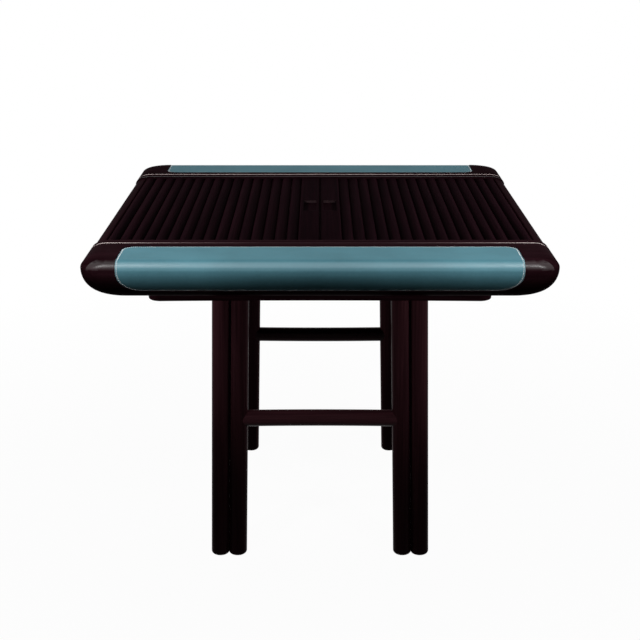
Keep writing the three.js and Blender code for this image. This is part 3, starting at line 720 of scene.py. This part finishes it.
def lengthwise(profile, half, edge, centre):
    """A profile of x and height drawn out along Y, with its end edges eased."""
    rings = []
    cx, cz = centre
    stops = [(-half, 1.0), (-half + 0.3 * edge, 0.4), (-half + edge, 0.0)]
    for y, inset in stops + [(-y, i) for y, i in reversed(stops)]:
        rings.append([(x - math.copysign(min(edge * inset, abs(x - cx)), x - cx), y,
                       z - (min(edge * inset, z) if z > cz else 0.0)) for x, z in profile])
    points, faces = skin(rings)
    return points, [tuple(reversed(f)) for f in faces]


def slat_form():
    """One slat with its tongues, its hinge edge at the origin, standing on z = 0."""
    width = PITCH - GAP
    body = lengthwise(slat_profile(width), DOOR_HALF, 1.0, (width / 2, 2.0))
    body = ([(x + GAP / 2, y, z) for x, y, z in body[0]], body[1])
    middle = PITCH / 2
    reach = DOOR_HALF + TONGUE_LENGTH
    tongue = soft_box(middle - TONGUE_WIDTH / 2, middle + TONGUE_WIDTH / 2, -reach, reach,
                      TONGUE_RISE, TONGUE_RISE + TONGUE_THICK, 0.8)
    return joined(body, tongue)


def canvas_form():
    return soft_box(0, PITCH, -DOOR_HALF, DOOR_HALF, -CANVAS, 0.1, 0.01)


def lifted(form, x0=0.0):
    return [(x + x0, y, z + SLAT_BACK) for x, y, z in form[0]], form[1]


def end_rail_form():
    """The fixed rail at the right end: round outside, hollow inside, with an eased lip beside the last slat."""
    lower_x, upper_x = HALF_WIDTH - LOWER_END_REACH, HALF_WIDTH - TOP_END_REACH
    lower_reach, upper_reach = LOWER_END_REACH - END_INSET, TOP_END_REACH - END_INSET
    ease = 1.6
    start = -math.acos((END_TOE - lower_x) / lower_reach)
    stop = math.acos((END_LIP + ease - upper_x) / upper_reach)
    outline = arc(lower_x, EDGE_MIDDLE, lower_reach, LOWER_RISE - END_INSET, start, 0, 30)
    outline += arc(upper_x, EDGE_MIDDLE, upper_reach, END_TOP - EDGE_MIDDLE, 0, stop, 16)[1:]
    top = outline[-1][1]
    outline += arc(END_LIP + ease, top - ease, ease, ease, QUARTER, 2 * QUARTER, 6)[1:]
    lip_z = UPPER_BEND[1] + math.sqrt(END_HOLLOW ** 2 - (END_LIP - UPPER_BEND[0]) ** 2)
    outline.append((END_LIP, lip_z))
    hollow = [(x, z) for x, z in turn_line(END_HOLLOW)[1:] if x > END_TOE and (x > END_LIP or z < UPPER_BEND[1])]
    outline += reversed(hollow)
    outline.append((END_TOE, LOWER_BEND[1] - END_HOLLOW))
    half = INNER - SEAT
    points, faces = skin([[(x, y, z) for x, z in outline] for y in (-half, half)])
    return points, [tuple(reversed(f)) for f in faces]


def lead_form():
    """The board at a door's inner edge, and the tongues at its ends."""
    x0, x1 = 0.35, LEAD - SEAT
    edge = 4.0
    top = SLAT_THICK - edge
    outline = [(x1, 0.0)] + arc(x1 - edge, top, edge, edge, 0, QUARTER, 8)
    outline += arc(x0 + edge, top, edge, edge, QUARTER, 2 * QUARTER, 8) + [(x0, 0.0)]
    body = lengthwise(outline, DOOR_HALF, 1.2, ((x0 + x1) / 2, 2.0))
    reach = DOOR_HALF + TONGUE_LENGTH
    margin = TONGUE_WIDTH / 2
    tongue = soft_box(x0 + margin, x1 - margin, -reach, reach, TONGUE_RISE, TONGUE_RISE + TONGUE_THICK, 0.8)
    return lifted(body), lifted(tongue)


def pull_cutter():
    """The scoop of a finger pull: an upright wall at the back and a floor that rises to the front, its mouth eased."""
    ease, above_slat = 0.9, SLAT_THICK + 10
    stops = [(ease, 0.05), (ease * 0.3, ease * 0.7), (0.0, PULL_DEPTH)]
    profile = [(PULL_X - out, deep) for out, deep in stops]
    profile += [(PULL_X + PULL_WIDTH + out, deep) for out, deep in reversed(stops)]
    rings = []
    for x, deep in profile:
        floor = arc(PULL_BACK, SLAT_THICK, -PULL_LENGTH, -deep, 0, QUARTER, 28)
        ring = [(PULL_BACK, above_slat), (PULL_BACK - PULL_LENGTH, above_slat)] + floor
        rings.append([(x, y, z + SLAT_BACK) for y, z in ring])
    return skin(rings)


def build_doors():
    slat = slat_form()
    canvas = canvas_form()
    starts = [LEAD + n * PITCH for n in range(SLATS_IN_SHEET)]
    lead_body, lead_tongue = lead_form()
    for side in ("right", "left"):
        mirrored = side == "left"
        flat = make(f"{side}_flat_slats", placed(joined(*[lifted(slat, x) for x in starts]), mirrored), slat_wood,
                    [f"{side}_slat_sheet"], angle=42)
        point_values(flat, "own_shift", [v for _ in starts for v in [random.random()] * len(slat[0])])
        backing = make(f"{side}_canvas", placed(joined(*[lifted(canvas, x) for x in starts]), mirrored), canvas_cloth)
        for piece in (flat, backing):
            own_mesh(piece)
        tail = make(f"{side}_last_slat", placed(lifted(slat, SHEET_END), mirrored), slat_wood, [f"{side}_tail_slat"],
                    angle=42)
        point_values(tail, "own_shift", [random.random()] * len(tail.data.vertices))
        make(f"{side}_last_canvas", placed(lifted(canvas, SHEET_END), mirrored), canvas_cloth)
        make(f"{side}_end_smooth", placed(end_rail_form(), mirrored), end_wood, [f"{side}_end_rail"],
             angle=40)
        lead = make(f"{side}_lead", placed(lead_body, mirrored), slat_wood, [f"{side}_lead_slat"],
                    body=f"{side}_door", angle=35, cutters=[placed(pull_cutter(), mirrored)])
        # The far wall of each finger pull, facing the front, takes the painted highlight.
        lead.data.materials.append(pull_wall)
        for face in lead.data.polygons:
            x, y = abs(face.center.x) / MM, face.center.y / MM
            inside = abs(x - PULL_X - PULL_WIDTH / 2) < PULL_WIDTH / 2 and 0 < y < PULL_BACK + 2
            if inside and face.normal.y < -0.7:
                face.material_index = 1
        point_values(lead, "own_shift", [0.31 + 0.4 * mirrored] * len(lead.data.vertices))
        keys = make(f"{side}_lead_tongue", placed(lead_tongue, mirrored), slat_wood, body=f"{side}_door")
        point_values(keys, "own_shift", [0.5] * len(keys.data.vertices))


# Stand
def column_form(outer):
    """A leaning column of the front right leg, flat where it meets its neighbour, with a rounded foot."""
    side = 1 if outer else -1
    gap = 0.15
    heights = [(FOOT_ROUND * (1 - math.cos(a)), COLUMN_RADIUS - FOOT_ROUND * (1 - math.sin(a)))
               for a in quarter_turn(10)]
    heights += [(LEG_TOP * i / 24, COLUMN_RADIUS) for i in range(1, 25)]
    rings = []
    for z, radius in heights:
        middle = LEG_X - SPLAY * z
        cx = side * COLUMN_SPACING / 2
        ring = []
        for k in range(72):
            a = 2 * math.pi * (k + 0.5) / 72
            x = cx + radius * math.cos(a)
            x = max(x, gap) if outer else min(x, -gap)
            ring.append((middle + x, -LEG_Y + radius * math.sin(a), z))
        rings.append(ring)
    return skin(rings)


def rung_form():
    """The front stretcher, bowed a little, that ends just inside the inner columns' faces."""
    rings = []
    end = LEG_X - COLUMN_SPACING / 2 - SPLAY * RUNG_Z - 3
    for i in range(41):
        share = 2 * i / 40 - 1
        x = end * share
        y = -LEG_Y + RUNG_BOW * (1 - share ** 2)
        rings.append([(x, y + RUNG_RADIUS * math.cos(a), RUNG_Z + RUNG_RADIUS * math.sin(a)) for a in
                      [2 * math.pi * k / 64 for k in range(64)]])
    return skin(rings)


def under_form():
    """The board under the top, its front and back edges bowed out."""
    rings = []
    levels = [(UNDER_BOTTOM + UNDER_ROUND * (1 - math.sin(a)), UNDER_ROUND * (1 - math.cos(a)))
              for a in reversed(quarter_turn(5))]
    levels += [(UNDER_TOP - 1.5, 0.0), (UNDER_TOP - 0.45, 0.45), (UNDER_TOP, 1.5)]
    for z, inset in levels:
        hx, hy, radius = UNDER_HALF_X - inset, UNDER_HALF_Y - inset, UNDER_CORNER - inset
        x, y = hx - radius, hy - radius
        quarter_ring = arc(x, y, radius, radius, 0, QUARTER, 12)
        back = quarter_ring + [(x * (1 - 2 * i / 20), hy) for i in range(1, 20)]
        back += [(-a, b) for a, b in reversed(quarter_ring)]
        ring = back + [(-a, -b) for a, b in back]
        rings.append([(a, b - math.copysign(UNDER_BOW * (1 - (a / UNDER_HALF_X) ** 2), b), z) for a, b in ring])
    return skin(rings)


def build_stand():
    make("under_board_smooth", under_form(), rail_wood, ["under_board"], angle=50)
    places = {"front_right": (False, False), "front_left": (True, False),
              "back_left": (False, True), "back_right": (True, True)}
    for k, (name, (mirrored, turned)) in enumerate(places.items()):
        for outer in (True, False):
            kind = "outer" if outer else "inner"
            piece = make(f"{name}_{kind}_post", placed(column_form(outer), mirrored, turned), leg_wood,
                         [f"{name}_{kind}_column"], angle=40)
            point_values(piece, "own_shift", [0.13 * k + 0.37 * outer] * len(piece.data.vertices))
    for side, turned in (("front", False), ("back", True)):
        make(f"{side}_rung", placed(rung_form(), turned=turned), rung_wood, [f"{side}_stretcher"],
             angle=60)


# Inside
def dress_inside():
    """Finishes for the pieces inside, whose shapes stay as they are."""
    nodes = frame["nodes"]
    for name, node in nodes.items():
        if "_point_" in name:
            side, row, _, k = name.split("_")
            light = (int(k) % 2 == 1) == ((side, row) in (("right", "near"), ("left", "far")))
            finish = light_leather if light else dark_leather
        elif name.endswith("playing_field"):
            finish = field_leather
        elif name.endswith("tray_lining"):
            finish = tray_felt
        elif name in ("board_carrier", "bottom_panel"):
            finish = plywood
        elif name.endswith("end_core"):
            finish = core_wood
        else:
            finish = board_wood
        node.data.materials.clear()
        node.data.materials.append(finish)
        if finish in (light_leather, dark_leather, field_leather):
            point_values(node, "from_edge", [20.0] * len(node.data.vertices))


# Stage
def seen_directly(tree):
    """1 for rays from the camera, a gloss or a clear body, 0 for light on the object."""
    path = add_node(tree, "LightPath").outputs
    seen = add_node(tree, "Math", {0: path["Is Camera Ray"], 1: path["Is Glossy Ray"]}, operation="MAXIMUM")
    sockets = {0: seen.outputs[0], 1: path["Is Transmission Ray"]}
    return add_node(tree, "Math", sockets, operation="MAXIMUM").outputs[0]


def build_floor():
    """A white floor with a faint shadow under the object. For light on the object it is dark."""
    corners = [(x * 9000, y * 9000, -0.5) for x, y in ((-1, -1), (1, -1), (1, 1), (-1, 1))]
    floor = bpy.data.objects.new("floor", mesh_of("floor", (corners, [(0, 1, 2, 3)])))
    bpy.context.scene.collection.objects.link(floor)
    material = bpy.data.materials.new("floor")
    material.use_nodes = True
    tree = material.node_tree
    tree.nodes.clear()
    white = add_node(tree, "Emission", {"Strength": 1.0}).outputs[0]
    grey = add_node(tree, "BsdfDiffuse", {"Color": (0.9, 0.9, 0.9, 1)}).outputs[0]
    dark = add_node(tree, "BsdfDiffuse", {"Color": (0.03, 0.03, 0.03, 1)}).outputs[0]
    coords = add_node(tree, "TexCoord").outputs["Object"]
    reach = add_node(tree, "VectorMath", {0: coords}, operation="LENGTH").outputs["Value"]
    fade = {"Value": reach, "From Min": 0.4, "From Max": 2.2, "To Min": 0.035, "To Max": 0.0}
    shadowed = add_node(tree, "MixShader", {0: add_node(tree, "MapRange", fade).outputs[0], 1: white, 2: grey})
    final = add_node(tree, "MixShader", {0: seen_directly(tree), 1: dark, 2: shadowed.outputs[0]})
    add_node(tree, "OutputMaterial", {"Surface": final.outputs[0]})
    floor.data.materials.append(material)


def build_world():
    """White behind the object and in its gloss, with faint light on it, most of it from above."""
    world = bpy.data.worlds.new("studio")
    bpy.context.scene.world = world
    world.use_nodes = True
    tree = world.node_tree
    tree.nodes.clear()
    coords = add_node(tree, "TexCoord").outputs["Generated"]
    height = add_node(tree, "SeparateXYZ", {0: coords}).outputs["Z"]
    rise = {"Value": height, "From Min": -0.2, "From Max": 1.0, "To Min": 0.0, "To Max": 0.06}
    level = add_node(tree, "MapRange", rise).outputs[0]
    around = add_node(tree, "Background", {"Color": (1, 1, 1, 1), "Strength": level}).outputs[0]
    white = add_node(tree, "Background", {"Color": (1, 1, 1, 1), "Strength": 1.0}).outputs[0]
    final = add_node(tree, "MixShader", {0: seen_directly(tree), 1: around, 2: white})
    add_node(tree, "OutputWorld", {"Surface": final.outputs[0]})


def on_door(name):
    return any(word in name for word in ("slat", "_lead", "canvas"))


def lit(name, wanted):
    """The shown pieces that a lamp lights."""
    group = bpy.data.collections.new(name)
    for obj in bpy.context.scene.objects:
        if obj.type == "MESH" and wanted(obj.name):
            group.objects.link(obj)
    return group


def hang(data, power, place, target, group, gloss):
    """A lamp in its place, facing its target, that lights the pieces of a group alone."""
    data.energy = power
    obj = bpy.data.objects.new(data.name, data)
    obj.location = place
    obj.rotation_euler = (Vector(target) - Vector(place)).to_track_quat("-Z", "Y").to_euler()
    obj.visible_camera = False
    obj.visible_glossy = gloss
    obj.light_linking.receiver_collection = group
    bpy.context.scene.collection.objects.link(obj)


def lamp(name, size, power, place, target, group, gloss=True):
    data = bpy.data.lights.new(name, "AREA")
    data.shape = "RECTANGLE"
    data.size, data.size_y = size
    hang(data, power, place, target, group, gloss)


def spot(name, power, size, angle, place, target, group, gloss=True):
    data = bpy.data.lights.new(name, "SPOT")
    data.shadow_soft_size = size
    data.spot_size = math.radians(angle)
    data.spot_blend = 1.0
    hang(data, power, place, target, group, gloss)


def build_lamps():
    """Dark lacquer and pale leather each take lamps of their own, and so do the slats, which are lit from the side."""
    stand = lit("lit_stand", lambda name: "post" in name or "under_board" in name)
    top = lit("lit_top", lambda name: name not in stand.objects and not on_door(name))
    covers = lit("lit_leather", lambda name: "leather" in name)
    timber = lit("lit_rails", lambda name: name.endswith(("_rail_smooth", "_end_smooth")))
    lamp("key", (0.4, 0.4), 18, (0.0, -2.5, 2.72), (0, -0.5, 0.7), top, gloss=False)
    lamp("low", (0.8, 0.5), 2.5, (0.0, -3.0, 1.2), (0, 0, 0.4), stand)
    everything = lit("lit_all", lambda name: name != "floor" and not on_door(name))
    both_doors = lit("lit_doors", on_door)
    lamp("doors_fill", (0.9, 0.9), 4.5, (0.0, 1.2, 2.4), (0, 0, 0.7), both_doors, gloss=False)
    for side, sign in (("left", -1), ("right", 1)):
        doors = lit(f"lit_{side}_door", lambda name: on_door(name) and name.startswith(side))
        lamp(f"{side}_door_lamp", (0.9, 0.25), 19, (sign * 1.5, -0.3, 1.45), (sign * 0.24, 0, 0.75), doors)
        spot(f"{side}_end_key", 85, 0.08, 22, (sign * 1.3, -2.1, 2.1), (sign * 0.52, -0.54, 0.72), top, gloss=False)
        lamp(f"{side}_over", (0.7, 0.7), 13, (sign * 0.9, -1.2, 2.15), (sign * 0.45, -0.45, 0.72), covers)
        lamp(f"{side}_gleam", (0.4, 0.4), 19, (sign * 0.95, -1.35, 2.15), (sign * 0.45, -0.45, 0.72), timber)
        lamp(f"{side}_behind", (1.0, 0.8), 42, (sign * 1.9, 2.4, 1.15), (0, 0.2, 0.6), everything, gloss=False)
        spot(f"{side}_side", 30, 0.12, 34, (sign * 1.3, -0.9, 0.66), (sign * 0.2, -0.3, 0.58), stand)


def camera():
    data = bpy.data.cameras.new("camera")
    data.sensor_width = 36
    data.lens = 78.05
    data.clip_start, data.clip_end = 0.05, 60
    obj = bpy.data.objects.new("camera", data)
    obj.location = (0, -3.24073, 1.42105)
    obj.rotation_euler = (math.radians(90 - 16.452), 0, 0)
    bpy.context.scene.collection.objects.link(obj)
    bpy.context.scene.camera = obj


camera()
build_rails()
build_doors()
build_stand()
dress_inside()
build_floor()
build_world()
build_lamps()

settings = bpy.context.scene.view_settings
settings.view_transform = "Standard"
